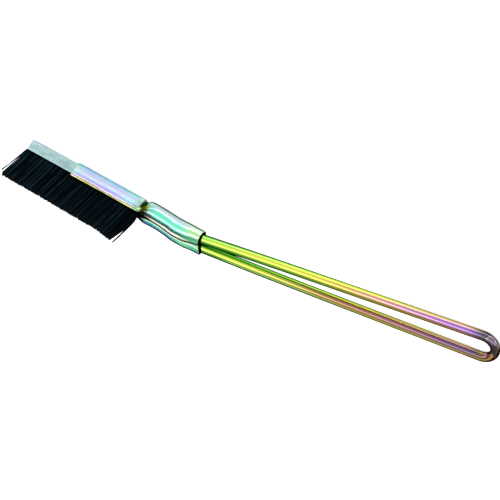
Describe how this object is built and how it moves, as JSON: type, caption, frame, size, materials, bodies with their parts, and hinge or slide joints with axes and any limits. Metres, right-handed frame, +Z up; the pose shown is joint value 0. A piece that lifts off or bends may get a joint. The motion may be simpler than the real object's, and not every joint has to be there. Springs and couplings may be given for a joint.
{
  "type": "wire brush",
  "caption": "Narrow strip wire brush with a pressed sheet sleeve and a bent rod handle ending in a hanging loop.",
  "frame": {"origin": "centre of the bounding box at its lowest level, where the brush rests on its back", "axes": "+X towards the brush tip away from the handle loop, +Z up with the bristles pointing up, Y = 0 is the symmetry plane"},
  "size_m": [0.3138, 0.023, 0.0468],
  "materials": {
    "plated_rod": "yellow passivated zinc plating, iridescent",
    "plated_sheet": "yellow passivated zinc plating, iridescent green and violet",
    "zinc_strip": "galvanised, pale grey with a cool tint",
    "bristle_wire": "dark drawn spring steel wire"
  },
  "bodies": {
    "holder": {"handle_rod": "plated_rod", "sleeve": "plated_sheet"},
    "strip": {"strip_channel": "zinc_strip", "core_wire": "zinc_strip", "bristle_tuft_01": "bristle_wire", "bristle_tuft_02": "bristle_wire", "bristle_tuft_03": "bristle_wire", "bristle_tuft_04": "bristle_wire", "bristle_tuft_05": "bristle_wire", "bristle_tuft_06": "bristle_wire", "bristle_tuft_07": "bristle_wire", "bristle_tuft_08": "bristle_wire", "bristle_tuft_09": "bristle_wire", "bristle_tuft_10": "bristle_wire", "bristle_tuft_11": "bristle_wire", "bristle_tuft_12": "bristle_wire", "bristle_tuft_13": "bristle_wire", "bristle_tuft_14": "bristle_wire", "bristle_tuft_15": "bristle_wire", "bristle_tuft_16": "bristle_wire", "bristle_tuft_17": "bristle_wire", "bristle_tuft_18": "bristle_wire", "bristle_tuft_19": "bristle_wire", "bristle_tuft_20": "bristle_wire", "bristle_tuft_21": "bristle_wire", "bristle_tuft_22": "bristle_wire", "bristle_tuft_23": "bristle_wire", "bristle_tuft_24": "bristle_wire", "bristle_tuft_25": "bristle_wire", "bristle_tuft_26": "bristle_wire", "stray_wire_front_1": "bristle_wire", "stray_wire_front_2": "bristle_wire", "stray_wire_rear": "bristle_wire"}
  },
  "joints": [
    {"name": "strip_slide", "type": "slide", "parent": "holder", "child": "strip", "axis": [0.9938, 0, -0.111], "range_m": [0, 0.05]}
  ]
}
